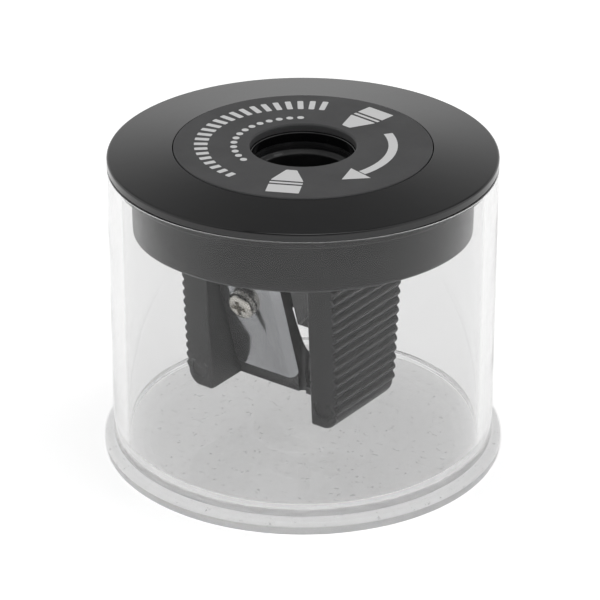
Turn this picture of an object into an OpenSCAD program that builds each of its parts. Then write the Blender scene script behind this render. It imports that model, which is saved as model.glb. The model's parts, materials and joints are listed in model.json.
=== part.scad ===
// Container sharpener for thick crayons: a clear cup, a lid that plugs into it,
// and a ribbed wedge sharpener that hangs under the lid inside the cup.
// Z points up, the origin is the centre of the cup's underside, and the blade faces -Y.

/* [Container] */
// Outside diameter of the clear wall
cup_d = 55; // [53:0.5:70]
// Thickness of the clear wall
cup_wall = 2; // [1.5:0.1:2.5]
// Height of the cup up to its rim
cup_h = 44.1; // [41:0.1:60]
// Thickness of the cup's floor
floor_t = 2; // [1.5:0.1:3]
// How far the foot stands out past the wall
foot_out = 1.4; // [0.5:0.1:2.5]
// Height of the foot
foot_h = 2; // [1.2:0.1:4]
// Radius of the fillet between the floor and the wall
floor_fillet = 2.4; // [1:0.1:4]

/* [Lid] */
// Thickness of the lid's outer edge
lid_edge_t = 1.15; // [0.8:0.05:2]
// How far the lid's top rises from its edge to the centre disc
lid_rise = 0.9; // [0:0.1:2]
// Thickness of the plate under the centre disc
plate_t = 1.5; // [1:0.1:2.5]
// Height of the band that seats in the cup's mouth
seat_h = 1.5; // [1:0.1:3]
// Radial clearance between the seating band and the cup's wall
seat_gap = 0.05; // [0.02:0.01:0.1]
// How far the plug below the band stands back from the wall
plug_set_back = 1.35; // [0.5:0.05:2]
// Depth of the plug below the cup's rim
plug_h = 8.8; // [5:0.1:14]
// Thickness of the plug's wall
plug_wall = 1.6; // [1:0.1:2.5]
// Height of the socket that holds the sharpener's head
socket_h = 4; // [2:0.1:7]
// Thickness of the socket's wall
socket_wall = 1.4; // [0.8:0.1:2]

/* [Centre disc] */
// Diameter of the disc
disc_d = 36.3; // [30:0.1:45]
// Thickness of the disc
disc_t = 1.2; // [0.8:0.1:1.6]
// Gap around the disc in its recess
disc_gap = 0.12; // [0.05:0.01:0.3]

/* [Sharpener body] */
// Diameter of the bore that guides the crayon
bore_d = 13; // [9:0.1:14]
// Angle between the cone's side and its axis
cone_angle = 16.8; // [14:0.1:22]
// Radius of the cone's tip hole
tip_r = 0.7; // [0.5:0.1:1.5]
// Height of the tip above the underside
tip_up = 2.2; // [2:0.1:4]
// Depth that the cutting edge reaches into the cone
edge_bite = 0.12; // [0.05:0.01:0.3]
// Height of the whole body
body_h = 36; // [34:0.5:38]
// Thickness of each leg, over its ribs
leg_t = 4.7; // [3.5:0.1:6]
// Material in front of the bore at the head
head_front = 2.35; // [1.5:0.05:4]
// Material behind the bore at the head
head_back = 3; // [1.5:0.1:5]
// Lean of the legs' front faces
front_lean = 3.3; // [0:0.1:5]
// Lean of the legs' rear faces
rear_lean = 5; // [0:0.1:7]
// Radius of the legs' lower outer corners
corner_r = 2.3; // [1:0.1:3]
// Distance from one rib to the next
rib_pitch = 1.45; // [1.3:0.05:2.5]
// Radius of each rib
rib_r = 0.6; // [0.3:0.05:0.8]
// Thickness of the plate that joins the legs at the bottom
bridge_t = 1.3; // [1:0.1:2]
// Depth of material behind the bore's axis on the blade side
trough_back = 1.8; // [1:0.1:4]
// Width of the slot beside the cutting edge
throat_w = 1.9; // [1:0.1:3]

/* [Blade and screw] */
// Width of the blade
blade_w = 10.8; // [8:0.1:13]
// Length of the blade
blade_l = 24; // [20:0.5:27]
// Thickness of the blade
blade_t = 0.8; // [0.5:0.05:1.2]
// Width of the ground bevel
bevel_w = 1.3; // [0.5:0.1:2.5]
// Radius of the blade's corners
blade_corner_r = 1.2; // [0.5:0.1:2]
// Distance of the screw from the cutting edge
screw_in = 6.6; // [6:0.1:8]
// Distance of the screw from the blade's lower end
screw_up = 12.6; // [9:0.1:15]
// Diameter of the screw's head
head_d = 4.3; // [3.5:0.1:5.5]
// Height of the screw's head
head_h = 1.5; // [1:0.1:2.2]
// Diameter of the screw's shank
shank_d = 2.4; // [2:0.1:3]
// Length of the screw's shank
shank_l = 3.8; // [3:0.1:4]
// Radial clearance of the shank in its hole
shank_gap = 0.04; // [0.02:0.01:0.1]

/* [Hidden] */
$fn = 128;
eps = 0.01;

// Cup and lid
cup_r = cup_d / 2;
cup_in_r = cup_r - cup_wall;
foot_r = cup_r + foot_out;
foot_round = 0.8;
rim_round = 0.4;
fillet_steps = 8;
band_r = cup_in_r - seat_gap;
plug_r = cup_in_r - plug_set_back;
disc_r = disc_d / 2;
recess_r = disc_r + disc_gap;
lid_top = cup_h + lid_edge_t + lid_rise;
disc_proud = 0.15;
recess_z = lid_top + disc_proud - disc_t;
plate_z = recess_z - plate_t;
edge_round = 0.35;
bore_r = bore_d / 2;
lid_hole_r = bore_r + 0.7;
disc_hole_r = bore_r + 0.95;

// Sharpener body: its head ends against the lid's plate
body_top = plate_z;
body_z = body_top - body_h;
head_z = cup_h - plug_h + 0.7;
y_front = -(bore_r + head_front);
y_back = bore_r + head_back;
y_front_low = y_front + (head_z - body_z) * tan(front_lean);
y_back_low = y_back - (head_z - body_z) * tan(rear_lean);
side_gap = 0.4;
x_in_left = -(blade_w + side_gap);
x_in_right = bore_r + 0.1;
x_out_left = x_in_left - leg_t;
x_out_right = x_in_right + leg_t;
rib_sink = 0.2;
lead_in_h = 1.1;
tip_z = body_z + tip_up;
cone_h = (bore_r - tip_r) / tan(cone_angle);
cone_top = tip_z + cone_h;
rear_round = 1.8;
rib_first = 3.2;
rib_count = floor((head_z - body_z - rib_first - 2 * rib_r) / rib_pitch) + 1;
window_drop = 2.2;
window_front_z = tip_z + cone_h * 0.5 + 1.3;
window_front_y = seat_y(window_front_z);
window_back_z = window_front_z - window_drop;
window_back_y = y_back - (head_z - window_back_z) * tan(rear_lean);
socket_gap = 0.03;

// Blade and screw, along the seat's slope from the cone's tip
blade_start = 0.7;
seat_end = (head_z - tip_z) / cos(cone_angle);
screw_x = -screw_in;
screw_s = blade_start + screw_up;
blade_hole_r = shank_d / 2 + 0.3;
recess_w = 0.7;
recess_l = 2.6;
recess_d = 0.9;
cut_far = 60;

// Depth of the blade's seat at a height
function seat_y(z) = edge_bite / cos(cone_angle) - tip_r - (z - tip_z) * tan(cone_angle);

// Height of the window's top at a depth
function window_z(y) =
    window_front_z - window_drop * (y - window_front_y) / (window_back_y - window_front_y);

// Moves children to the blade's seat: local Z runs up the slope and local -Y stands out of it
module on_seat()
{
    translate([0, seat_y(tip_z), tip_z])
        rotate([cone_angle, 0, 0])
            children();
}

// Extrudes an outline drawn in Y and Z along X, from x0 to x1
module along_x(x0, x1)
{
    translate([x0, 0, 0])
        rotate([90, 0, 90])
            linear_extrude(x1 - x0)
                children();
}

// Half of the cup's section, drawn from its axis outwards
module cup_section()
{
    difference()
    {
        union()
        {
            square([cup_r, cup_h - rim_round]);
            square([cup_r - rim_round, cup_h]);
            translate([cup_r - rim_round, cup_h - rim_round])
                circle(r = rim_round);
            square([foot_r, foot_h - foot_round]);
            square([foot_r - foot_round, foot_h]);
            translate([foot_r - foot_round, foot_h - foot_round])
                circle(r = foot_round);
        }
        translate([-cup_r, 0])
            square([cup_r, cup_h * 2]);
        translate([-eps, floor_t + floor_fillet])
            square([cup_in_r + eps, cup_h]);
        translate([-eps, floor_t])
            square([cup_in_r - floor_fillet + eps, cup_h]);
        translate([cup_in_r - floor_fillet, floor_t + floor_fillet])
            circle(r = floor_fillet);
    }
}

module container()
{
    color([0.86, 0.88, 0.88, 0.4])
        rotate_extrude()
            cup_section();
}

// Half of the lid's section: sloping top, rounded edge, seating band and plug
module lid_section()
{
    difference()
    {
        union()
        {
            polygon([
                [0, plate_z],
                [cup_in_r - plug_set_back, plate_z],
                [cup_in_r - plug_set_back, cup_h],
                [cup_r, cup_h],
                [cup_r, cup_h + lid_edge_t - edge_round],
                [cup_r - edge_round, cup_h + lid_edge_t],
                [recess_r, lid_top],
                [0, lid_top]
            ]);
            translate([cup_r - edge_round, cup_h + lid_edge_t - edge_round])
                circle(r = edge_round);
            translate([plug_r - plug_wall, cup_h - seat_h])
                square([band_r - plug_r + plug_wall, seat_h]);
            translate([plug_r - plug_wall, cup_h - plug_h])
                square([plug_wall, plug_h]);
        }
        translate([-eps, recess_z])
            square([recess_r + eps, lid_top]);
        translate([-eps, 0])
            square([lid_hole_r + eps, lid_top * 2]);
    }
}

// Four walls under the plate that grip the sharpener's head
module head_socket()
{
    wide = x_out_right - x_out_left + 2 * socket_gap;
    deep = y_back - y_front + 2 * socket_gap;
    translate([x_out_left - socket_gap, y_front - socket_gap, plate_z - socket_h])
        difference()
        {
            translate([-socket_wall, -socket_wall, 0])
                cube([wide + 2 * socket_wall, deep + 2 * socket_wall, socket_h]);
            translate([0, 0, -eps])
                cube([wide, deep, socket_h + 2 * eps]);
        }
}

module lid()
{
    color([0.07, 0.07, 0.075])
        union()
        {
            rotate_extrude()
                lid_section();
            head_socket();
        }
}

module centre_disc()
{
    color([0.2, 0.2, 0.2])
        translate([0, 0, recess_z])
            difference()
            {
                cylinder(h = disc_t, r = disc_r);
                translate([0, 0, -eps])
                    cylinder(h = disc_t + 2 * eps, r = disc_hole_r);
            }
}

// Outline of a leg seen from its side: leaning front and rear, rounded rear corner
module leg_profile()
{
    difference()
    {
        polygon([
            [y_front_low, body_z],
            [y_back_low, body_z],
            [y_back, head_z],
            [y_back, body_top],
            [y_front, body_top],
            [y_front, head_z]
        ]);
        translate([y_back_low - rear_round, body_z + rear_round])
            difference()
            {
                translate([0, -2 * rear_round])
                    square([2 * rear_round, 2 * rear_round]);
                circle(r = rear_round);
            }
    }
}

// One leg between the planes x_in and x_out, with its lower outer corner rounded
module leg(x_in, x_out)
{
    side = sign(x_out - x_in);
    x_face = x_out - side * (rib_r - rib_sink);
    x_mid = x_face - side * corner_r;
    intersection()
    {
        along_x(min(x_in, x_out), max(x_in, x_out))
            leg_profile();
        union()
        {
            translate([min(x_in, x_face), -cut_far / 2, body_z + corner_r])
                cube([abs(x_face - x_in), cut_far, body_h]);
            translate([min(x_in, x_mid), -cut_far / 2, body_z])
                cube([abs(x_mid - x_in), cut_far, corner_r]);
            translate([x_mid, cut_far / 2, body_z + corner_r])
                rotate([90, 0, 0])
                    cylinder(h = cut_far, r = corner_r);
            leg_ribs(x_face - side * rib_sink);
            translate([min(x_face, x_out), -cut_far / 2, head_z])
                cube([abs(x_out - x_face), cut_far, body_h]);
        }
    }
}

// Finger ribs that run from front to back on a leg's outer face
module leg_ribs(x)
{
    for (i = [0 : rib_count - 1])
        translate([x, cut_far / 2, body_z + rib_first + i * rib_pitch])
            rotate([90, 0, 0])
                cylinder(h = cut_far, r = rib_r, $fn = 32);
}

// Outline of the middle, seen from its side: seat in front, trough wall and overhanging head behind
module middle_profile()
{
    low_z = body_z + bridge_t - eps;
    polygon([
        [seat_y(low_z), low_z],
        [trough_back, low_z],
        [trough_back, window_z(trough_back)],
        [window_back_y, window_back_z],
        [y_back, head_z],
        [y_back, body_top],
        [y_front, body_top],
        [y_front, head_z],
        [seat_y(head_z), head_z]
    ]);
}

// Outline of the opening under the head, which runs from front to back beside the cutting edge
module window_profile()
{
    polygon([
        [-cut_far, body_z],
        [cut_far, body_z],
        [cut_far, window_z(cut_far)],
        [-cut_far, window_z(-cut_far)]
    ]);
}

// Block between the legs, open on the right of the cutting edge
module middle()
{
    difference()
    {
        along_x(x_in_left - eps, x_in_right + eps)
            middle_profile();
        along_x(0, x_in_right + 2 * eps)
            window_profile();
    }
}

// Plate that joins the legs at the bottom, behind the blade's lower end
module bridge()
{
    translate([x_in_left - eps, -tip_r + 0.5, body_z])
        cube([x_in_right - x_in_left + 2 * eps, y_back_low - rear_round + tip_r - 0.5, bridge_t]);
}

// Bore, cone and tip hole that the crayon goes into
module crayon_bore()
{
    translate([0, 0, body_z - eps])
        cylinder(h = tip_up + 2 * eps, r = tip_r);
    translate([0, 0, tip_z])
        cylinder(h = cone_h, r1 = tip_r, r2 = bore_r);
    translate([0, 0, cone_top])
        cylinder(h = body_top, r = bore_r);
    translate([0, 0, body_top - lead_in_h])
        cylinder(h = lead_in_h + eps, r = lid_hole_r);
}

// Slot beside the cutting edge where the shavings come out
module throat()
{
    on_seat()
        translate([0, -bore_r, -blade_start])
            cube([throat_w, bore_r + 2 * tip_r, cone_h / cos(cone_angle) + blade_start]);
}

module sharpener_body()
{
    color([0.11, 0.11, 0.115])
        difference()
        {
            union()
            {
                leg(x_in_left, x_out_left);
                leg(x_in_right, x_out_right);
                middle();
                bridge();
            }
            crayon_bore();
            throat();
            on_seat()
                translate([screw_x, 0, screw_s])
                    rotate([-90, 0, 0])
                        translate([0, 0, -eps])
                            cylinder(h = shank_l + 0.5, r = shank_d / 2 + shank_gap, $fn = 48);
        }
}

// Blade's outline seen square on, with rounded corners and the screw's hole
module blade_outline()
{
    difference()
    {
        union()
        {
            translate([-blade_w, blade_corner_r])
                square([blade_w, blade_l - 2 * blade_corner_r]);
            translate([-blade_w + blade_corner_r, 0])
                square([blade_w - 2 * blade_corner_r, blade_l]);
            for (x = [-blade_w + blade_corner_r, -blade_corner_r])
                for (s = [blade_corner_r, blade_l - blade_corner_r])
                    translate([x, s])
                        circle(r = blade_corner_r);
        }
        translate([screw_x, screw_up])
            circle(r = blade_hole_r);
    }
}

module blade()
{
    color([0.7, 0.7, 0.7])
        on_seat()
            translate([0, 0, blade_start])
                intersection()
                {
                    rotate([90, 0, 0])
                        linear_extrude(blade_t)
                            blade_outline();
                    translate([0, 0, -eps])
                        linear_extrude(blade_l + 2 * eps)
                            polygon([[-blade_w, 0], [0, 0], [-bevel_w, -blade_t], [-blade_w, -blade_t]]);
                }
}

module blade_screw()
{
    color([0.78, 0.77, 0.74])
        on_seat()
            translate([screw_x, -blade_t, screw_s])
                rotate([-90, 0, 0])
                    difference()
                    {
                        union()
                        {
                            cylinder(h = blade_t + shank_l, r = shank_d / 2, $fn = 48);
                            translate([0, 0, -head_h])
                                cylinder(h = head_h, r = head_d / 2, $fn = 64);
                        }
                        for (turn = [0, 90])
                            rotate([0, 0, turn])
                                translate([-recess_l / 2, -recess_w / 2, -head_h - eps])
                                    cube([recess_l, recess_w, recess_d]);
                    }
}

container();
lid();
centre_disc();
sharpener_body();
blade();
blade_screw();
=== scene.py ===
import json
import math

import bmesh
import bpy
from mathutils import Matrix, Vector


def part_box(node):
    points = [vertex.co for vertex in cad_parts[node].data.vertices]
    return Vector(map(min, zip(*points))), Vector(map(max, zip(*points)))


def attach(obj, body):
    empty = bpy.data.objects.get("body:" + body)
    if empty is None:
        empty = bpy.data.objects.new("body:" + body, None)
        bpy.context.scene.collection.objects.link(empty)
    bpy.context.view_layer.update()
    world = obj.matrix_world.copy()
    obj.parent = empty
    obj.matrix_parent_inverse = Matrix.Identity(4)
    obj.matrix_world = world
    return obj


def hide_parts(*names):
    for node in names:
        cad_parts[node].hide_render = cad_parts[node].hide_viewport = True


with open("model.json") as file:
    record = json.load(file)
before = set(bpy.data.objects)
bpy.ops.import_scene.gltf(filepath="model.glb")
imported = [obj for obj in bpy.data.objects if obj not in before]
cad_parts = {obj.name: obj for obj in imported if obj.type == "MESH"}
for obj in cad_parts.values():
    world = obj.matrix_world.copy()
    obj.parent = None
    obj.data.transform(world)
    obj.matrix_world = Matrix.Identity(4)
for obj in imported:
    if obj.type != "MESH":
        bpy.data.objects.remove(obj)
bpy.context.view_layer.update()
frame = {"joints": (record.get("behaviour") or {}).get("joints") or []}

mm = 0.001

# ---------------------------------------------------------------- container
# The cup: injection moulded in one shot from crystal clear polystyrene, gated at the centre of
# its underside. The mould was polished, so only the gate, the ejector ring and faint flow show.


def colour(code):
    """Linear colour of an sRGB hex code."""
    shares = [int(code[i:i + 2], 16) / 255 for i in (1, 3, 5)]
    return [s / 12.92 if s <= 0.04045 else ((s + 0.055) / 1.055) ** 2.4 for s in shares] + [1]


def feed(tree, node, inputs):
    """Gives each of a node's sockets, by name or number, a value or the socket that feeds it."""
    for key, value in inputs.items():
        if isinstance(value, bpy.types.NodeSocket):
            tree.links.new(value, node.inputs[key])
        else:
            node.inputs[key].default_value = value


def add(tree, kind, inputs=None, **settings):
    """Adds a node with its settings and feeds it."""
    made = tree.nodes.new(kind)
    for key, value in settings.items():
        setattr(made, key, value)
    feed(tree, made, inputs or {})
    return made


def noise(tree, place, size, detail, roughness=0.5):
    """Noise with patches of about this size."""
    return add(tree, "ShaderNodeTexNoise",
               {"Vector": place, "Scale": 1 / size, "Detail": detail, "Roughness": roughness}).outputs[0]


def spread(tree, value, low, high, to_low, to_high):
    """Maps a value from one range to another and holds it at the ends."""
    return add(tree, "ShaderNodeMapRange",
               {"Value": value, "From Min": low, "From Max": high,
                "To Min": to_low, "To Max": to_high}).outputs[0]


def product(tree, first, second):
    """Two values multiplied."""
    return add(tree, "ShaderNodeMath", {0: first, 1: second}, operation="MULTIPLY").outputs[0]


def blend(tree, share, first, second):
    """Two sRGB hex colours mixed by a share."""
    return add(tree, "ShaderNodeMix", {0: share, 6: colour(first), 7: colour(second)},
               data_type="RGBA").outputs[2]


def dress(tree, shader, height, strength, depth, inputs):
    """Feeds a surface shader and raises a fine relief on it."""
    relief = add(tree, "ShaderNodeBump", {"Height": height, "Strength": strength, "Distance": depth})
    feed(tree, shader, {**inputs, "Normal": relief.outputs[0]})


def start_material(name):
    """A node material: returns it, its tree, its surface shader and the object's own coordinates."""
    made = bpy.data.materials.new(name)
    made.use_nodes = True
    tree = made.node_tree
    place = add(tree, "ShaderNodeTexCoord").outputs["Object"]
    return made, tree, tree.nodes["Principled BSDF"], place


def rounded(corners, steps=6, lead=0.01 * mm):
    """Closed outline through (across, up, rounding) corners, with an arc where a corner has a rounding.
    The short straight lead beside each arc keeps the smooth shading of the long faces flat."""
    outline = []
    for i, (across, up, rounding) in enumerate(corners):
        here = Vector((across, up))
        if rounding == 0:
            outline.append(here)
            continue
        to_last = (Vector(corners[i - 1][:2]) - here).normalized()
        to_next = (Vector(corners[(i + 1) % len(corners)][:2]) - here).normalized()
        half = to_last.angle(to_next) / 2
        centre = here + (to_last + to_next).normalized() * rounding / math.sin(half)
        first = here + to_last * rounding / math.tan(half) - centre
        last = here + to_next * rounding / math.tan(half) - centre
        sweep = math.atan2(first.cross(last), first.dot(last))
        outline.append(centre + first + to_last * lead)
        for k in range(steps + 1):
            turned_by = Matrix.Rotation(sweep * k / steps, 2)
            outline.append(centre + turned_by @ first)
        outline.append(centre + last + to_next * lead)
    return outline


def new_object(name, points, edges, faces):
    """A mesh object at the origin, linked to the scene."""
    mesh = bpy.data.meshes.new(name)
    mesh.from_pydata([tuple(p) for p in points], edges, faces)
    made = bpy.data.objects.new(name, mesh)
    bpy.context.scene.collection.objects.link(made)
    return made


def settle(thing, sharp_above=35, merge=0.002 * mm):
    """Turns an object and its modifiers into one plain closed mesh, smooth but for its sharp edges."""
    graph = bpy.context.evaluated_depsgraph_get()
    mesh = bpy.data.meshes.new_from_object(thing.evaluated_get(graph))
    thing.modifiers.clear()
    form = bmesh.new()
    form.from_mesh(mesh)
    bmesh.ops.remove_doubles(form, verts=form.verts, dist=merge)
    bmesh.ops.dissolve_degenerate(form, edges=form.edges, dist=merge / 4)
    bmesh.ops.recalc_face_normals(form, faces=form.faces)
    for edge in form.edges:
        edge.smooth = edge.calc_face_angle(math.pi) < math.radians(sharp_above)
    for face in form.faces:
        face.smooth = True
    form.to_mesh(mesh)
    form.free()
    mesh.name = thing.name
    thing.data = mesh
    return thing


def combine(thing, other, operation):
    """Joins another closed object to this one, or cuts it away, and removes the other."""
    cut = thing.modifiers.new("cut", "BOOLEAN")
    cut.operation = operation
    cut.solver = "EXACT"
    cut.object = other
    settle(thing)
    bpy.data.objects.remove(other)
    return thing


def start_tree(name, shape, values, result):
    """A geometry node group that takes a shape, named values of given kinds and a material. Returns
    it and its inputs."""
    tree = bpy.data.node_groups.new(name, "GeometryNodeTree")
    for given, kind in {shape: "Geometry", **values, "Material": "Material"}.items():
        tree.interface.new_socket(given, in_out="INPUT", socket_type="NodeSocket" + kind)
    tree.interface.new_socket(result, in_out="OUTPUT", socket_type="NodeSocketGeometry")
    return tree, add(tree, "NodeGroupInput").outputs


def end_tree(tree, shape, material):
    """Makes a shape's instances real, sets its material and passes it out of the group."""
    real = add(tree, "GeometryNodeRealizeInstances", {"Geometry": shape})
    faced = add(tree, "GeometryNodeSetMaterial", {"Geometry": real.outputs[0], "Material": material})
    add(tree, "NodeGroupOutput", {0: faced.outputs[0]})
    return tree


def turning_tree():
    """Geometry nodes that turn a half section, drawn across X and down Y, about the Z axis."""
    tree, given = start_tree("turned_about_z", "Half Section",
                             {"Segments": "Int", "Pole Gap": "Float"}, "Turned")
    section = add(tree, "GeometryNodeMeshToCurve", {"Mesh": given["Half Section"]})
    path = add(tree, "GeometryNodeCurvePrimitiveCircle",
               {"Resolution": given["Segments"], "Radius": given["Pole Gap"]})
    wall = add(tree, "GeometryNodeCurveToMesh",
               {"Curve": path.outputs[0], "Profile Curve": section.outputs[0]})
    return end_tree(tree, wall.outputs[0], given["Material"])


def grow(thing, tree, **values):
    """Runs a geometry tree on an object, with each named input set, and settles the result."""
    made = thing.modifiers.new("grow", "NODES")
    made.node_group = tree
    for item in tree.interface.items_tree:
        name = item.name.lower().replace(" ", "_")
        if item.in_out == "INPUT" and name in values:
            made[item.identifier] = values[name]
    return settle(thing)


turned_about_z = turning_tree()


def turned(name, outline, material, segments=192):
    """A closed solid turned from (radius, height) points. An outline that starts on the axis ends on it."""
    open_ended = outline[0].x < 1e-9 and outline[-1].x < 1e-9
    count = len(outline)
    edges = [(i, (i + 1) % count) for i in range(count - 1 if open_ended else count)]
    thing = new_object(name, [(p.x, -p.y, 0) for p in outline], edges, [])
    return grow(thing, turned_about_z, segments=segments, pole_gap=0.0005 * mm, material=material)


def lets_lamps_through(tree, shader):
    """Lets a lamp's rays pass a clear shader straight, so that what stands inside the cup is lit."""
    ray = add(tree, "ShaderNodeLightPath")
    clear = add(tree, "ShaderNodeBsdfTransparent", {"Color": colour("#F5F5F5")})
    mixed = add(tree, "ShaderNodeMixShader",
                {0: ray.outputs["Is Shadow Ray"], 1: shader.outputs[0], 2: clear.outputs[0]})
    tree.links.new(mixed.outputs[0], tree.nodes["Material Output"].inputs["Surface"])


def clear_polystyrene():
    """Crystal polystyrene from a polished mould: it is water clear and bright at its edges, with soft
    flow waves that bend what is behind it, and a haze of hair scratches from shavings and handling."""
    made, tree, shader, place = start_material("moulded_clear_polystyrene")
    hair = add(tree, "ShaderNodeMapping", {"Vector": place, "Scale": (1, 1, 0.12)}).outputs[0]
    worn = product(tree, noise(tree, hair, 0.35 * mm, 3.0, 0.7), noise(tree, place, 7 * mm, 2.0))
    flow = noise(tree, place, 14 * mm, 1.0)
    # The grey specular tint darkens what the wall reflects: painted shade on the reflections, standing in
    # for a dimmer room in front of the cup.
    dress(tree, shader, flow, 0.25, 0.12 * mm, {
        "Base Color": colour("#EBEBEB"), "Roughness": spread(tree, worn, 0.2, 0.5, 0.0, 0.03),
        "IOR": 1.59, "Specular Tint": colour("#9C9C9C"), "Transmission Weight": 1.0})
    lets_lamps_through(tree, shader)
    return made


def scuffed_polystyrene():
    """The underside of the same moulding: left matt by the mould and scuffed white by table tops. It
    sits so close on the table that it hardly bends light, so the table's white shows in the foot."""
    made, tree, shader, place = start_material("scuffed_clear_polystyrene")
    scuff = noise(tree, place, 1.2 * mm, 5.0, 0.75)
    dress(tree, shader, scuff, 0.04, 0.01 * mm, {
        "Base Color": blend(tree, scuff, "#E6E6E6", "#F9F9F9"),
        "Roughness": spread(tree, scuff, 0.3, 0.7, 0.22, 0.5),
        "IOR": 1.08, "Transmission Weight": 0.5})
    lets_lamps_through(tree, shader)
    return made


cup_foot_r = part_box("container")[1].x
cup_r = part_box("lid")[1].x
cup_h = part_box("container")[1].z
cup_wall = 2.0 * mm
floor_t = 2.0 * mm
foot_h = 2.0 * mm
ring_r = 7.8 * mm
ring_w = 0.35 * mm
ring_h = 0.12 * mm
gate_r = 1.1 * mm
gate_d = 0.12 * mm
dish_d = 0.2 * mm
under_d = 0.2 * mm
cup_in_r = cup_r - cup_wall

cup_section = rounded([
    (0, floor_t - dish_d, 0),
    (gate_r, floor_t - dish_d, 0.4 * mm),
    (gate_r + 0.6 * mm, floor_t, 0.3 * mm),
    (ring_r - ring_w, floor_t, 0.1 * mm),
    (ring_r - ring_w / 3, floor_t + ring_h, 0.1 * mm),
    (ring_r + ring_w / 3, floor_t + ring_h, 0.1 * mm),
    (ring_r + ring_w, floor_t, 0.1 * mm),
    (cup_in_r, floor_t, 2.4 * mm),
    (cup_in_r, cup_h, 0.3 * mm),
    (cup_r, cup_h, 0.4 * mm),
    (cup_r, foot_h, 0.35 * mm),
    (cup_foot_r, foot_h, 0.75 * mm),
    (cup_foot_r, 0, 0.5 * mm),
    (cup_in_r - 2 * mm, 0, 0.3 * mm),
    (cup_in_r - 3.2 * mm, under_d, 0.6 * mm),
    (2 * gate_r, under_d, 0.3 * mm),
    (gate_r, under_d + gate_d, 0.3 * mm),
    (0, under_d + gate_d, 0),
], steps=8)
cup = turned("clear_cup", cup_section, clear_polystyrene(), segments=256)
cup.data.materials.append(scuffed_polystyrene())
for face in cup.data.polygons:
    if face.normal.z < -0.7 and face.center.z < floor_t / 2:
        face.material_index = 1
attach(cup, "container")
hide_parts("container")

# ---------------------------------------------------------------- lid
# The cap: black polystyrene from a mirror-polished mould. Its skirt plugs into the cup, its rim
# stands on the cup's mouth, and a square socket under it grips the sharpener's head.


opaque_ior = 1.54


def gloss_black_polystyrene():
    """Black polystyrene from a polished mould: nearly black in itself, it shows the room in its skin,
    broken only by a faint orange peel, fine wiping scratches and a little dust."""
    made, tree, shader, place = start_material("moulded_gloss_black_polystyrene")
    peel = noise(tree, place, 1.6 * mm, 1.0)
    wipe = add(tree, "ShaderNodeMapping",
               {"Vector": place, "Scale": (1, 0.08, 1), "Rotation": (0, 0, math.radians(25))}).outputs[0]
    worn = product(tree, noise(tree, wipe, 0.22 * mm, 4.0, 0.7), noise(tree, place, 9 * mm, 2.0))
    dust = spread(tree, noise(tree, place, 0.3 * mm, 2.0, 0.8), 0.7, 0.78, 0.0, 0.35)
    dress(tree, shader, peel, 0.06, 0.05 * mm, {
        "Base Color": blend(tree, dust, "#0E0E0F", "#4A4A4A"),
        "Roughness": spread(tree, worn, 0.15, 0.5, 0.07, 0.2), "IOR": opaque_ior})
    return made


def satin_black_polystyrene():
    """Black polystyrene from a lightly textured mould: a satin skin that greys softly where it faces the
    light, polished (less rough) on the crests that fingers touch; the crests' lighter colour is a painted
    highlight."""
    made, tree, shader, place = start_material("moulded_satin_black_polystyrene")
    grain = noise(tree, place, 0.2 * mm, 3.0, 0.6)
    patch = noise(tree, place, 4 * mm, 3.0)
    shape = add(tree, "ShaderNodeNewGeometry")
    # Convex crests, found by pointiness, get a lower roughness for real polish and a lighter colour that is
    # a painted highlight.
    crest_polish_and_sheen = product(tree, spread(tree, shape.outputs["Pointiness"], 0.5, 0.56, 0.0, 1.0), patch)
    rough = add(tree, "ShaderNodeMath", {0: spread(tree, patch, 0.3, 0.7, 0.42, 0.54), 1: crest_polish_and_sheen},
                operation="SUBTRACT", use_clamp=True)
    dress(tree, shader, grain, 0.05, 0.01 * mm, {
        "Base Color": blend(tree, crest_polish_and_sheen, "#131314", "#505051"),
        "Roughness": rough.outputs[0], "IOR": opaque_ior})
    return made


gloss_black = gloss_black_polystyrene()
satin_black = satin_black_polystyrene()
disc_low, disc_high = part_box("centre_disc")
body_low, body_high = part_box("sharpener_body")
plug_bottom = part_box("lid")[0].z
lid_edge_top = cup_h + 1.15 * mm
lid_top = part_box("lid")[1].z
recess_r = disc_high.x + 0.12 * mm
plug_r = cup_in_r - 1.35 * mm
plug_in_r = plug_r - 1.6 * mm
seat_r = cup_in_r - 0.05 * mm
seat_h = 1.5 * mm
hole_r = 7.2 * mm
plate_bottom = body_high.z

lid_section = rounded([
    (hole_r, disc_low.z, 0.15 * mm),
    (hole_r, plate_bottom, 0.1 * mm),
    (plug_in_r, plate_bottom, 0.6 * mm),
    (plug_in_r + 0.15 * mm, plug_bottom, 0.35 * mm),
    (plug_r - 0.1 * mm, plug_bottom, 0.5 * mm),
    (plug_r, cup_h - seat_h - 0.5 * mm, 0.3 * mm),
    (seat_r, cup_h - seat_h, 0.25 * mm),
    (seat_r, cup_h + 0.02 * mm, 0.02 * mm),
    (cup_r, cup_h + 0.02 * mm, 0.12 * mm),
    (cup_r, lid_edge_top, 0.35 * mm),
    (recess_r, lid_top, 0.1 * mm),
    (recess_r, disc_low.z, 0.1 * mm),
])
lid = turned("black_lid", lid_section, gloss_black, segments=224)

socket_gap = 0.03 * mm
socket_wall = 1.4 * mm
socket_h = 4.0 * mm


def upright_loop(low, high, rounding, z):
    """Points of a rounded rectangle at one height."""
    corners = [(low.x, low.y, rounding), (high.x, low.y, rounding),
               (high.x, high.y, rounding), (low.x, high.y, rounding)]
    return [Vector((p.x, p.y, z)) for p in rounded(corners, steps=5)]


def stacked(name, loops, material):
    """A closed solid skinned over loops of equally many points, from the lowest to the highest."""
    count = len(loops[0])
    points = [p for loop in loops for p in loop]
    faces = []
    for row in range(len(loops) - 1):
        for i in range(count):
            j = (i + 1) % count
            faces.append((row * count + i, row * count + j, (row + 1) * count + j, (row + 1) * count + i))
    faces.append(tuple(reversed(range(count))))
    faces.append(tuple((len(loops) - 1) * count + i for i in range(count)))
    thing = new_object(name, points, [], faces)
    thing.data.materials.append(material)
    return thing


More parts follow.
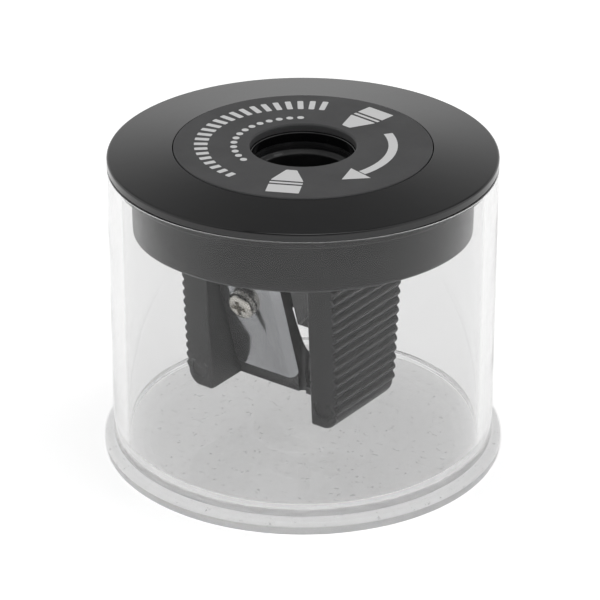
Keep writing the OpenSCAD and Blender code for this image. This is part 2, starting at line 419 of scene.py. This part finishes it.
def upright_block(name, low, high, rounding, edge, material):
    """A block with rounded upright corners and rounded rims."""
    loops = []
    for end, turn in ((low.z, -1), (high.z, 1)):
        for k in (range(5) if turn < 0 else reversed(range(5))):
            lean = math.pi / 2 * k / 4
            inset = edge * (1 - math.sin(lean))
            z = end - turn * edge * (1 - math.cos(lean))
            inner = Vector((inset, inset, 0))
            loops.append(upright_loop(low + inner, high - inner, max(rounding - inset, 0.02 * mm), z))
    return stacked(name, loops, material)


socket_in_low = Vector((body_low.x - socket_gap, body_low.y - socket_gap, plate_bottom - 2 * socket_h))
socket_in_high = Vector((body_high.x + socket_gap, body_high.y + socket_gap, plate_bottom))
wall_out = Vector((socket_wall, socket_wall, 0))
socket_low = Vector((socket_in_low.x, socket_in_low.y, plate_bottom - socket_h)) - wall_out
socket_high = socket_in_high + wall_out + Vector((0, 0, 0.6 * mm))
socket = upright_block("socket", socket_low, socket_high, 1.2 * mm, 0.3 * mm, gloss_black)
combine(socket, upright_block("well", socket_in_low, socket_in_high, 0.25 * mm, 0.02 * mm, gloss_black),
        "DIFFERENCE")
clear_of_hole = hole_r + 0.2 * mm
combine(socket, turned("crayon_way", rounded([
    (0, plate_bottom - mm, 0), (clear_of_hole, plate_bottom - mm, 0),
    (clear_of_hole, lid_top, 0), (0, lid_top, 0),
]), gloss_black), "DIFFERENCE")
combine(lid, socket, "UNION")
lid.data.materials.append(satin_black)
for face in lid.data.polygons:
    if face.center.z < cup_h + 0.01 * mm:
        face.material_index = 1
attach(lid, "lid_unit")
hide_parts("lid")

# ---------------------------------------------------------------- centre disc
# A separate grey polystyrene ring let into the lid round the hole. Its mould was spark eroded,
# which leaves an even, fine matt grain that also takes the print.


def spark_eroded_polystyrene():
    """Dark grey polystyrene with a spark eroded skin: fine pits scatter the light, so it stays matt, and
    handling polishes the tops of the grain in patches."""
    made, tree, shader, place = start_material("spark_eroded_grey_polystyrene")
    grain = noise(tree, place, 0.16 * mm, 3.0, 0.6)
    patch = noise(tree, place, 5 * mm, 3.0)
    dress(tree, shader, grain, 0.3, 0.02 * mm, {
        "Base Color": blend(tree, grain, "#3A3A3B", "#464647"),
        "Roughness": spread(tree, patch, 0.3, 0.7, 0.52, 0.64), "IOR": opaque_ior})
    return made


disc_hole_r = 7.45 * mm
disc_section = rounded([
    (disc_hole_r, disc_high.z, 0.3 * mm),
    (disc_hole_r, disc_low.z, 0.15 * mm),
    (disc_high.x, disc_low.z, 0.15 * mm),
    (disc_high.x, disc_high.z, 0.18 * mm),
])
disc = turned("centre_ring", disc_section, spark_eroded_polystyrene(), segments=192)
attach(disc, "lid_unit")
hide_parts("centre_disc")

# ---------------------------------------------------------------- printed marks
# Pale pad printing on the disc: bars that grow the way the crayon is turned, a ring of dots, a
# turning arrow and two crayon signs. The ink lies a few hundredths of a millimetre proud.


def pad_print_ink():
    """Pad printing ink: a thin, flat, slightly chalky film that lets the grain below through and is
    thinner in places, where the grey shows."""
    made, tree, shader, place = start_material("pad_print_ink_pale_grey")
    grain = noise(tree, place, 0.16 * mm, 3.0, 0.6)
    thin = spread(tree, grain, 0.55, 0.75, 0.0, 0.5)
    dress(tree, shader, grain, 0.2, 0.02 * mm, {
        "Base Color": blend(tree, thin, "#A9AAAA", "#7F8080"),
        "Roughness": spread(tree, grain, 0.3, 0.7, 0.5, 0.66)})
    return made


def lifted(tree, shape, height):
    """A shape moved up in a geometry node group."""
    level = add(tree, "ShaderNodeCombineXYZ", {"Z": height})
    return add(tree, "GeometryNodeTransform",
               {"Geometry": shape, "Translation": level.outputs[0]}).outputs[0]


def mark_ring_tree():
    """Geometry nodes that set rounded marks along an arc, each pointing outwards, the first ones shorter."""
    values = dict.fromkeys(("Radius", "Start", "Sweep", "Height", "Length", "Width", "Rounding", "Thickness",
                            "First Share"), "Float")
    tree, given = start_tree("marks_on_an_arc", "Geometry", {**values, "Count": "Int"}, "Marks")
    arc = add(tree, "GeometryNodeCurveArc",
              {"Resolution": given["Count"], "Radius": given["Radius"], "Start Angle": given["Start"],
               "Sweep Angle": given["Sweep"]}, mode="RADIUS")
    frame_of_mark = add(tree, "GeometryNodeCurvePrimitiveQuadrilateral",
                        {"Width": given["Length"], "Height": given["Width"]}, mode="RECTANGLE")
    filleted = add(tree, "GeometryNodeFilletCurve",
                   {"Curve": frame_of_mark.outputs[0], "Count": 5, "Radius": given["Rounding"]}, mode="POLY")
    flat = add(tree, "GeometryNodeFillCurve", {"Curve": filleted.outputs[0]}, mode="NGONS")
    raised = add(tree, "GeometryNodeExtrudeMesh",
                 {"Mesh": flat.outputs[0], "Offset Scale": given["Thickness"], "Individual": False})
    back = add(tree, "GeometryNodeFlipFaces", {"Mesh": flat.outputs[0]})
    closed = add(tree, "GeometryNodeJoinGeometry")
    tree.links.new(raised.outputs[0], closed.inputs[0])
    tree.links.new(back.outputs[0], closed.inputs[0])
    place = add(tree, "GeometryNodeInputPosition")
    outward = add(tree, "FunctionNodeAlignRotationToVector", {"Vector": place.outputs[0]}, axis="X")
    index = add(tree, "GeometryNodeInputIndex")
    last = add(tree, "ShaderNodeMath", {0: given["Count"], 1: 1.0}, operation="SUBTRACT")
    share = add(tree, "ShaderNodeMapRange",
                {"Value": index.outputs[0], "From Max": last.outputs[0], "To Min": given["First Share"]})
    size = add(tree, "ShaderNodeCombineXYZ", {"X": share.outputs[0], "Y": 1.0, "Z": 1.0})
    set_out = add(tree, "GeometryNodeInstanceOnPoints",
                  {"Points": arc.outputs[0], "Instance": closed.outputs[0],
                   "Rotation": outward.outputs[0], "Scale": size.outputs[0]})
    return end_tree(tree, lifted(tree, set_out.outputs[0], given["Height"]), given["Material"])


marks_on_an_arc = mark_ring_tree()
ink = pad_print_ink()
ink_bottom = disc_high.z - 0.02 * mm
ink_t = 0.04 * mm
print_turn = 36


def arc_of_marks(name, count, radius, start, end, length, width, rounding, first_share=1.0):
    """Marks from one angle to another, in degrees, about the hole."""
    return grow(new_object(name, [(0, 0, 0)], [], []), marks_on_an_arc, count=count,
                radius=radius, start=math.radians(start + print_turn), sweep=math.radians(end - start),
                height=ink_bottom, length=length, width=width, rounding=rounding, thickness=ink_t,
                first_share=first_share, material=ink)


def printed(name, outline, angle):
    """A flat sign raised from an outline drawn with +X pointing outwards, turned to its angle in degrees."""
    count = len(outline)
    turn = Matrix.Rotation(math.radians(angle + print_turn), 3, "Z")
    points = [turn @ Vector((p.x, p.y, ink_bottom + up)) for up in (0, ink_t) for p in outline]
    faces = [tuple(reversed(range(count))), tuple(range(count, 2 * count))]
    faces += [(i, (i + 1) % count, count + (i + 1) % count, count + i) for i in range(count)]
    thing = new_object(name, points, [], faces)
    thing.data.materials.append(ink)
    return settle(thing)


def arc_outline(radius, width, start, end):
    """Outline of a curved stroke between two angles in degrees."""
    steps = max(4, int(abs(end - start) / 3))
    angles = [math.radians(start + (end - start) * k / steps) for k in range(steps + 1)]
    outer = [Vector((math.cos(a), math.sin(a))) * (radius + width / 2) for a in angles]
    inner = [Vector((math.cos(a), math.sin(a))) * (radius - width / 2) for a in reversed(angles)]
    return outer + inner


signs = [
    arc_of_marks("growing_bars", 23, 14.3 * mm, 226, 78, 3.1 * mm, 0.85 * mm, 0.2 * mm, 0.45),
    arc_of_marks("dots", 14, 9.7 * mm, 212, 92, 1.0 * mm, 1.0 * mm, 0.499 * mm),
]
arrow_r = 12.6 * mm
arrow_w = 1.3 * mm
signs.append(printed("arrow_stroke", arc_outline(arrow_r, arrow_w, 18, -50), 0))
signs.append(printed("arrow_head", [
    Vector((arrow_r - 2.1 * mm, 0)),
    Vector((arrow_r, -3.4 * mm)),
    Vector((arrow_r + 2.1 * mm, 0)),
], -51))
tip_in = 8.9 * mm
tip_len = 3.7 * mm
barrel_len = 3.4 * mm
barrel_w = 4.6 * mm
band = 0.45 * mm
for angle in (-100, 47):
    signs.append(printed("crayon_tip", rounded([
        (tip_in, -0.75 * mm, 0.3 * mm),
        (tip_in + tip_len, -barrel_w / 2, 0.15 * mm),
        (tip_in + tip_len, barrel_w / 2, 0.15 * mm),
        (tip_in, 0.75 * mm, 0.3 * mm),
    ]), angle))
    near = tip_in + tip_len + band
    for first, last in ((near, near + 0.5 * mm), (near + 0.5 * mm + band, near + barrel_len)):
        signs.append(printed("crayon_barrel", rounded([
            (first, -barrel_w / 2, 0.1 * mm),
            (last, -barrel_w / 2, 0.1 * mm),
            (last, barrel_w / 2, 0.1 * mm),
            (first, barrel_w / 2, 0.1 * mm),
        ]), angle))


def joined(name, things):
    """One object from several closed ones, which are removed. It keeps the first one's material."""
    form = bmesh.new()
    for thing in things:
        form.from_mesh(thing.data)
    made = new_object(name, [], [], [])
    form.to_mesh(made.data)
    form.free()
    made.data.materials.append(things[0].data.materials[0])
    for thing in things:
        bpy.data.objects.remove(thing)
    return settle(made)


marks = joined("printed_marks", signs)
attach(marks, "lid_unit")

# ---------------------------------------------------------------- sharpener body
# The wedge: one moulding in satin black polystyrene. Two legs with finger ribs carry the slanting
# blade seat and the cone between them, and the head above fits the lid's socket.


def finger_rib_tree():
    """Geometry nodes that push a leg's outer face out into ribs that run from front to back."""
    names = ("Pitch", "First", "Last", "Rib Height", "Inner Face", "Outer Face")
    tree, given = start_tree("finger_ribs", "Leg", dict.fromkeys(names, "Float"), "Ribbed")
    place = add(tree, "GeometryNodeInputPosition")
    split = add(tree, "ShaderNodeSeparateXYZ", {0: place.outputs[0]})

    def math_of(operation, *terms, clamp=False):
        return add(tree, "ShaderNodeMath", dict(enumerate(terms)), operation=operation,
                   use_clamp=clamp).outputs[0]

    above = math_of("SUBTRACT", split.outputs["Z"], given["First"])
    phase = math_of("MULTIPLY", math_of("DIVIDE", above, given["Pitch"]), 2 * math.pi)
    wave = math_of("MULTIPLY_ADD", math_of("COSINE", phase), 0.5, 0.5)
    crest = math_of("POWER", wave, 0.7)
    half = math_of("MULTIPLY", given["Pitch"], 0.5)
    started = math_of("GREATER_THAN", split.outputs["Z"], math_of("SUBTRACT", given["First"], half))
    going = math_of("LESS_THAN", split.outputs["Z"], math_of("ADD", given["Last"], half))
    ribbed = math_of("MULTIPLY", crest, math_of("MULTIPLY", started, going))
    width = math_of("SUBTRACT", given["Outer Face"], given["Inner Face"])
    across = math_of("DIVIDE", math_of("SUBTRACT", split.outputs["X"], given["Inner Face"]), width,
                     clamp=True)
    push = math_of("MULTIPLY", math_of("MULTIPLY", ribbed, across), given["Rib Height"])
    offset = add(tree, "ShaderNodeCombineXYZ", {"X": push})
    pushed = add(tree, "GeometryNodeSetPosition", {"Geometry": given["Leg"], "Offset": offset.outputs[0]})
    return end_tree(tree, pushed.outputs[0], given["Material"])


finger_ribs = finger_rib_tree()
blade_low, blade_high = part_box("blade")
screw_joint = next(j for j in frame["joints"] if j["name"] == "screw_turn")
screw_place = Vector(screw_joint["pos_m"])
outward = Vector(screw_joint["axis"])
upward = Vector((0, outward.z, -outward.y))
seat_axes = Matrix((Vector((1, 0, 0)), -outward, upward)).transposed().to_4x4()
seat_frame = Matrix.Translation(screw_place) @ seat_axes

rib_pitch = 1.45 * mm
rib_rise = 0.4 * mm
rib_first = body_low.z + 3.2 * mm
head_z = 36.0 * mm
front_lean = math.tan(math.radians(3.3))
rear_lean = math.tan(math.radians(5))
side_clear = 0.4 * mm
inner_left = blade_low.x - side_clear
inner_right = 6.6 * mm
face_left = body_low.x + rib_rise
face_right = body_high.x - rib_rise
rib_count = int((head_z - rib_first - 1.2 * mm) / rib_pitch) + 1
row_step = 0.12 * mm
foot_round = 2.3 * mm
foot_rows = 14


def front_at(z):
    """Depth of the body's front face at a height."""
    return body_low.y + (head_z - z) * front_lean


def back_at(z):
    """Depth of the body's rear face at a height."""
    return body_high.y - (head_z - z) * rear_lean


def drawn_in(z, rounding):
    """How far a face that ends in a rounding at the underside stands back at a height."""
    up = z - body_low.z
    return rounding - math.sqrt(rounding ** 2 - (rounding - up) ** 2) if up < rounding else 0


def leg(name, inner, outer):
    """One leg, skinned over level sections that draw in at its rounded lower edges, then ribbed."""
    side = 1 if outer > inner else -1
    low_rows = [body_low.z + foot_round * (1 - math.cos(math.pi / 2 * k / foot_rows))
                for k in range(foot_rows + 1)]
    high_rows = int((head_z - low_rows[-1]) / row_step)
    rows = low_rows + [low_rows[-1] + row_step * (k + 1) for k in range(high_rows)] + [head_z + 1 * mm]
    loops = []
    for z in rows:
        out = outer - side * drawn_in(z, foot_round)
        near = inner + side * drawn_in(z, 0.2 * mm)
        front = front_at(z) + drawn_in(z, 0.35 * mm)
        back = back_at(z) - drawn_in(z, 1.8 * mm)
        low = Vector((min(out, near), front, 0))
        high = Vector((max(out, near), back, 0))
        loops.append(upright_loop(low, high, 0.4 * mm, z))
    made = stacked(name, loops, satin_black)
    return grow(made, finger_ribs, pitch=rib_pitch, first=rib_first,
                last=rib_first + (rib_count - 1) * rib_pitch, rib_height=side * rib_rise,
                inner_face=inner, outer_face=outer, material=satin_black)


def seat_y(z):
    """Depth of the blade's seat at a height."""
    return screw_place.y + (z - screw_place.z) * upward.y / upward.z


def run_across(name, outline, left, right):
    """A solid from an outline of (depth, height) points, run across from left to right."""
    loops = [[Vector((x, p.x, p.y)) for p in outline] for x in (left, right)]
    return settle(stacked(name, loops, satin_black))


body = leg("wedge_body", inner_left, face_left)
combine(body, leg("right_leg", inner_right, face_right), "UNION")
head = upright_block("head", Vector((body_low.x, body_low.y, head_z)), body_high, 0.35 * mm, 0.25 * mm,
                     satin_black)
combine(body, head, "UNION")

buried = 0.3 * mm
tip_r = 0.7 * mm
tip_z = body_low.z + 2.2 * mm
bore_r = 6.5 * mm
cone_slope = -upward.y / upward.z
cone_h = (bore_r - tip_r) / cone_slope
bridge_t = 1.3 * mm
bridge_front = -0.2 * mm
bridge_inset = 1.9 * mm
trough_back = 1.8 * mm
window_z = tip_z + cone_h / 2 + 1.3 * mm
window_back_z = window_z - 2.2 * mm
lead_in_h = 1.1 * mm
throat_w = 1.9 * mm
seat_skin = 0.002 * mm
bridge_z = body_low.z + bridge_t / 2

upper = run_across("upper_block", rounded([
    (seat_y(window_z), window_z, 0.25 * mm),
    (back_at(window_back_z), window_back_z, 0.5 * mm),
    (back_at(head_z), head_z, 0),
    (body_high.y - buried, head_z + buried, 0),
    (body_low.y + buried, head_z + buried, 0),
    (seat_y(head_z), head_z, 0),
]), inner_left - buried, inner_right + buried)
lower = run_across("lower_block", rounded([
    (seat_y(bridge_z) + seat_skin, bridge_z, 0),
    (trough_back, bridge_z, 0),
    (trough_back, head_z, 0),
    (seat_y(head_z) + seat_skin, head_z, 0),
]), inner_left - buried, 0)
bridge = run_across("bridge", rounded([
    (bridge_front, body_low.z, 0.25 * mm),
    (back_at(body_low.z) - bridge_inset, body_low.z, 0.25 * mm),
    (back_at(body_low.z) - bridge_inset, body_low.z + bridge_t, 0.25 * mm),
    (bridge_front, body_low.z + bridge_t, 0.25 * mm),
]), inner_left - buried, inner_right + buried)
for block in (upper, lower, bridge):
    combine(body, block, "UNION")

bore = turned("bore", rounded([
    (0, body_low.z - mm, 0),
    (tip_r, body_low.z - mm, 0),
    (tip_r, tip_z, 0),
    (bore_r, tip_z + cone_h, 0.5 * mm),
    (bore_r, body_high.z - lead_in_h - 0.4 * mm, 0.3 * mm),
    (hole_r, body_high.z - lead_in_h, 0.2 * mm),
    (hole_r, body_high.z + mm, 0),
    (0, body_high.z + mm, 0),
]), satin_black, segments=96)
combine(body, bore, "DIFFERENCE")


def seat_block(name, low, high, rounding):
    """A block drawn on the seat, from the screw: X across, Y into the body and Z up the slope."""
    made = upright_block(name, low, high, rounding, 0.1 * mm, satin_black)
    made.data.transform(seat_frame)
    return made


seat_foot = -(screw_place.z - tip_z) / upward.z
edge_x = -screw_place.x
throat = seat_block("throat", Vector((edge_x, -bore_r, seat_foot - 0.7 * mm)),
                    Vector((edge_x + throat_w, 1.4 * mm, seat_foot + cone_h / upward.z)), 0.3 * mm)
combine(body, throat, "DIFFERENCE")
shank_hole_r = 1.24 * mm
shank_hole_d = 4.2 * mm
screw_hole = turned("screw_hole", rounded([
    (0, -mm, 0), (shank_hole_r, -mm, 0), (shank_hole_r, shank_hole_d, 0), (0, shank_hole_d + 0.4 * mm, 0),
]), satin_black, segments=48)
screw_hole.data.transform(seat_frame @ Matrix.Rotation(-math.pi / 2, 4, "X"))
combine(body, screw_hole, "DIFFERENCE")

pin_r = 1.3 * mm
pin_d = 0.12 * mm
pin_z = body_low.z + 2.9 * mm
for middle in ((inner_right + face_right) / 2, (inner_left + face_left) / 2):
    pin = turned("ejector_pin", rounded([
        (0, -mm, 0), (pin_r, -mm, 0), (pin_r, pin_d, 0.05 * mm), (0, pin_d, 0),
    ]), satin_black, segments=48)
    lean = Matrix.Rotation(-math.pi / 2 + math.atan(front_lean), 4, "X")
    pin.data.transform(Matrix.Translation((middle, front_at(pin_z), pin_z)) @ lean)
    combine(body, pin, "DIFFERENCE")
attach(body, "lid_unit")
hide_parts("sharpener_body")

# ---------------------------------------------------------------- blade
# A standard replaceable blade: hardened carbon steel strip, blanked with round corners, ground flat,
# then ground and honed to a bevel along one long edge. The screw clamps it on the seat.


def ground_steel(name, along, cross, base, low, high):
    """Ground carbon steel: bright and mirror-like between fine parallel wheel marks, which stretch the
    highlights across themselves, with a thin film of oil that dulls it in patches. The marks are
    drawn a few times coarser than real ones, so that they show."""
    made, tree, shader, place = start_material(name)
    level = add(tree, "ShaderNodeMapping",
                {"Vector": place, "Rotation": (-math.atan(cone_slope), 0, 0)})
    lines = add(tree, "ShaderNodeMapping", {"Vector": level.outputs[0], "Scale": (along, 1, cross)})
    wheel = noise(tree, lines.outputs[0], 0.12 * mm, 4.0, 0.7)
    oil = noise(tree, place, 3.5 * mm, 3.0)
    dress(tree, shader, wheel, 0.12, 0.01 * mm, {
        "Base Color": blend(tree, wheel, base, "#C4C5C7"),
        "Roughness": spread(tree, product(tree, wheel, oil), 0.1, 0.45, low, high), "Metallic": 1.0})
    return made


def soften(thing, name, width, sharper_than):
    """Rounds the edges that turn by more than an angle in degrees."""
    rounding = thing.modifiers.new(name, "BEVEL")
    rounding.width = width
    rounding.segments = 2
    rounding.limit_method = "ANGLE"
    rounding.angle_limit = math.radians(sharper_than)
    return settle(thing)


blade_t = 0.8 * mm
blade_w = blade_high.x - blade_low.x
blade_l = (blade_high.z - blade_low.z + blade_t * upward.y) / upward.z
blade_foot = (blade_high.z - screw_place.z) / upward.z - blade_l
bevel_w = 1.3 * mm
edge_left = 0.02 * mm
blade_outline = rounded([
    (edge_x - blade_w, blade_foot, 1.2 * mm),
    (edge_x, blade_foot, 1.2 * mm),
    (edge_x, blade_foot + blade_l, 1.2 * mm),
    (edge_x - blade_w, blade_foot + blade_l, 1.2 * mm),
], steps=10)
face_steel = ground_steel("surface_ground_carbon_steel", 1.0, 0.05, "#8F9194", 0.1, 0.26)
bevel_steel = ground_steel("honed_carbon_steel_bevel", 0.05, 1.0, "#A5A7AA", 0.08, 0.2)
blade = stacked("steel_blade", [[Vector((p.x, y, p.y)) for p in blade_outline] for y in (0, -blade_t)],
                face_steel)
settle(blade)
blade.data.materials.append(bevel_steel)
bevel_run = Vector((bevel_w, blade_t - edge_left))
bevel_foot = Vector((edge_x - bevel_w, -blade_t))
stone = [bevel_foot - bevel_run, bevel_foot + 2 * bevel_run, Vector((edge_x + bevel_w, -3 * blade_t))]
stone_path = (blade_foot - mm, blade_foot + blade_l + mm)
combine(blade, settle(stacked("bevel_stone", [[Vector((p.x, p.y, z)) for p in stone] for z in stone_path],
                              bevel_steel)), "DIFFERENCE")
for face in blade.data.polygons:
    if face.normal.x > 0.3 and face.normal.y < -0.5:
        face.material_index = 1
window_r = 1.5 * mm
screw_window = turned("screw_window", rounded([
    (0, -mm, 0), (window_r, -mm, 0), (window_r, mm, 0), (0, mm, 0),
]), face_steel, segments=64)
screw_window.data.transform(Matrix.Rotation(-math.pi / 2, 4, "X"))
combine(blade, screw_window, "DIFFERENCE")
soften(blade, "worn_edges", 0.05 * mm, 50)
blade.data.transform(seat_frame)
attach(blade, "lid_unit")
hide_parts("blade")

# ---------------------------------------------------------------- blade screw
# A cross-recessed pan head screw: cold headed steel with a rolled thread, bright nickel plated.


def nickel_plate():
    """Nickel plate on cold headed steel: bright with a faint warm cast, rounded off by barrel finishing,
    with small dull spots and driver marks that roughen it."""
    made, tree, shader, place = start_material("nickel_plated_steel")
    barrel = noise(tree, place, 0.25 * mm, 4.0, 0.65)
    dress(tree, shader, barrel, 0.2, 0.02 * mm, {
        "Base Color": blend(tree, barrel, "#B3B0AA", "#DAD7D0"),
        "Roughness": spread(tree, barrel, 0.3, 0.7, 0.16, 0.34), "Metallic": 1.0})
    return made


def thread_tree():
    """Geometry nodes that run a ridge round a shank along a helix."""
    names = ("Turns", "Root Radius", "Length", "Ridge", "Start Height")
    tree, given = start_tree("rolled_thread", "Geometry", dict.fromkeys(names, "Float"), "Thread")
    helix = add(tree, "GeometryNodeCurveSpiral",
                {"Resolution": 40, "Rotations": given["Turns"], "Start Radius": given["Root Radius"],
                 "End Radius": given["Root Radius"], "Height": given["Length"]})
    ridge = add(tree, "GeometryNodeCurvePrimitiveCircle", {"Resolution": 3, "Radius": given["Ridge"]})
    swept = add(tree, "GeometryNodeCurveToMesh",
                {"Curve": helix.outputs[0], "Profile Curve": ridge.outputs[0], "Fill Caps": True})
    return end_tree(tree, lifted(tree, swept.outputs[0], given["Start Height"]), given["Material"])


nickel = nickel_plate()
head_r = 2.15 * mm
head_h = 1.5 * mm
core_r = 1.0 * mm
shank_l = 3.8 * mm
ridge = 0.13 * mm
screw = turned("cross_head_screw", rounded([
    (0, -shank_l + 0.1 * mm, 0),
    (core_r - 0.3 * mm, -shank_l + 0.1 * mm, 0.1 * mm),
    (core_r, -shank_l + 0.5 * mm, 0.1 * mm),
    (core_r, blade_t, 0.05 * mm),
    (head_r, blade_t, 0.15 * mm),
    (head_r, blade_t + head_h, 0.75 * mm),
    (0, blade_t + head_h, 0),
]), nickel, segments=96)
recess_top = blade_t + head_h
for turn in (0, math.pi / 2):
    loops = []
    for length, width, z in ((0.4, 0.25, -1.1), (1.1, 0.3, -0.55), (1.35, 0.37, 0.3)):
        half_l, half_w = length * mm, width * mm
        loops.append([Matrix.Rotation(turn, 3, "Z") @ Vector((x * half_l, y * half_w, recess_top + z * mm))
                      for x, y in ((-1, -1), (1, -1), (1, 1), (-1, 1))])
    combine(screw, settle(stacked("driver_recess", loops, nickel)), "DIFFERENCE")
soften(screw, "barrel_finished", 0.06 * mm, 45)
thread = grow(new_object("thread", [(0, 0, 0)], [], []), thread_tree(), turns=5.5,
              root_radius=core_r - 0.02 * mm, length=2.6 * mm, ridge=ridge,
              start_height=-shank_l + 0.7 * mm, material=nickel)
combine(screw, thread, "UNION")
screw.data.transform(seat_frame @ Matrix.Rotation(math.pi / 2, 4, "X"))
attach(screw, "screw")
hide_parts("blade_screw")

# ---------------------------------------------------------------- studio
# A white sweep under three soft boxes, in a room that is bright low down and dim overhead, which
# gives the cap its dark front and pale far side.

camera = bpy.data.objects.new("camera", bpy.data.cameras.new("camera"))
bpy.context.scene.collection.objects.link(camera)
bpy.context.scene.camera = camera
camera_turn = math.radians(36)
camera_tilt = math.radians(26.24)
camera_away = 404 * mm
aim_z = 22.1 * mm
camera.location = (math.sin(camera_turn) * camera_away, -math.cos(camera_turn) * camera_away,
                   aim_z + camera_away * math.tan(camera_tilt))
camera.rotation_euler = (math.pi / 2 - camera_tilt, 0, camera_turn)
camera.data.lens = 188.8
camera.data.sensor_width = 36
camera.data.shift_x = -0.005
camera.data.clip_start = 10 * mm
camera.data.clip_end = 100


def white_sweep():
    """Matt white paper, lit evenly enough to burn out to white."""
    made, tree, shader, place = start_material("matt_white_paper")
    fibre = noise(tree, place, 2 * mm, 2.0)
    feed(tree, shader, {
        "Base Color": blend(tree, fibre, "#F4F4F4", "#F8F8F8"), "Roughness": 0.9,
        "Emission Color": colour("#FFFFFF"), "Emission Strength": 0.52})
    return made


floor_half = 6.0
floor_z = -0.05 * mm
floor = new_object("paper_sweep", [(x * floor_half, y * floor_half, floor_z)
                                   for x, y in ((-1, -1), (1, -1), (1, 1), (-1, 1))], [], [(0, 1, 2, 3)])
floor.data.materials.append(white_sweep())


def soft_box(name, place, size, power):
    """A square area lamp that faces the object. What stands in the cup gets its light by shadow rays,
    so rays that leave through the clear wall don't meet the lamp a second time."""
    lamp = bpy.data.lights.new(name, "AREA")
    lamp.shape = "SQUARE"
    lamp.size = size
    lamp.energy = power
    made = bpy.data.objects.new(name, lamp)
    made.location = place
    made.rotation_euler = (-Vector(place)).to_track_quat("-Z", "Y").to_euler()
    made.visible_transmission = False
    bpy.context.scene.collection.objects.link(made)
    return made


soft_box("top_soft_box", (0.0, 0.05, 1.2), 0.5, 1.8)
soft_box("left_soft_box", (-0.85, -0.3, 0.9), 1.4, 2.7)
soft_box("right_soft_box", (0.75, 0.45, 0.9), 1.4, 3.6)

world = bpy.data.worlds.new("room")
bpy.context.scene.world = world
world.use_nodes = True
room = world.node_tree
sky = add(room, "ShaderNodeTexCoord").outputs["Generated"]
height = add(room, "ShaderNodeSeparateXYZ", {0: sky}).outputs["Z"]
level = add(room, "ShaderNodeMapRange",
            {"Value": height, "From Min": math.sin(math.radians(12)), "From Max": math.sin(math.radians(40)),
             "To Min": 0.93, "To Max": 0.2}, interpolation_type="SMOOTHSTEP")
room.links.new(level.outputs[0], room.nodes["Background"].inputs["Strength"])
room.nodes["Background"].inputs["Color"].default_value = colour("#FFFFFF")
bpy.context.scene.view_settings.view_transform = "Standard"
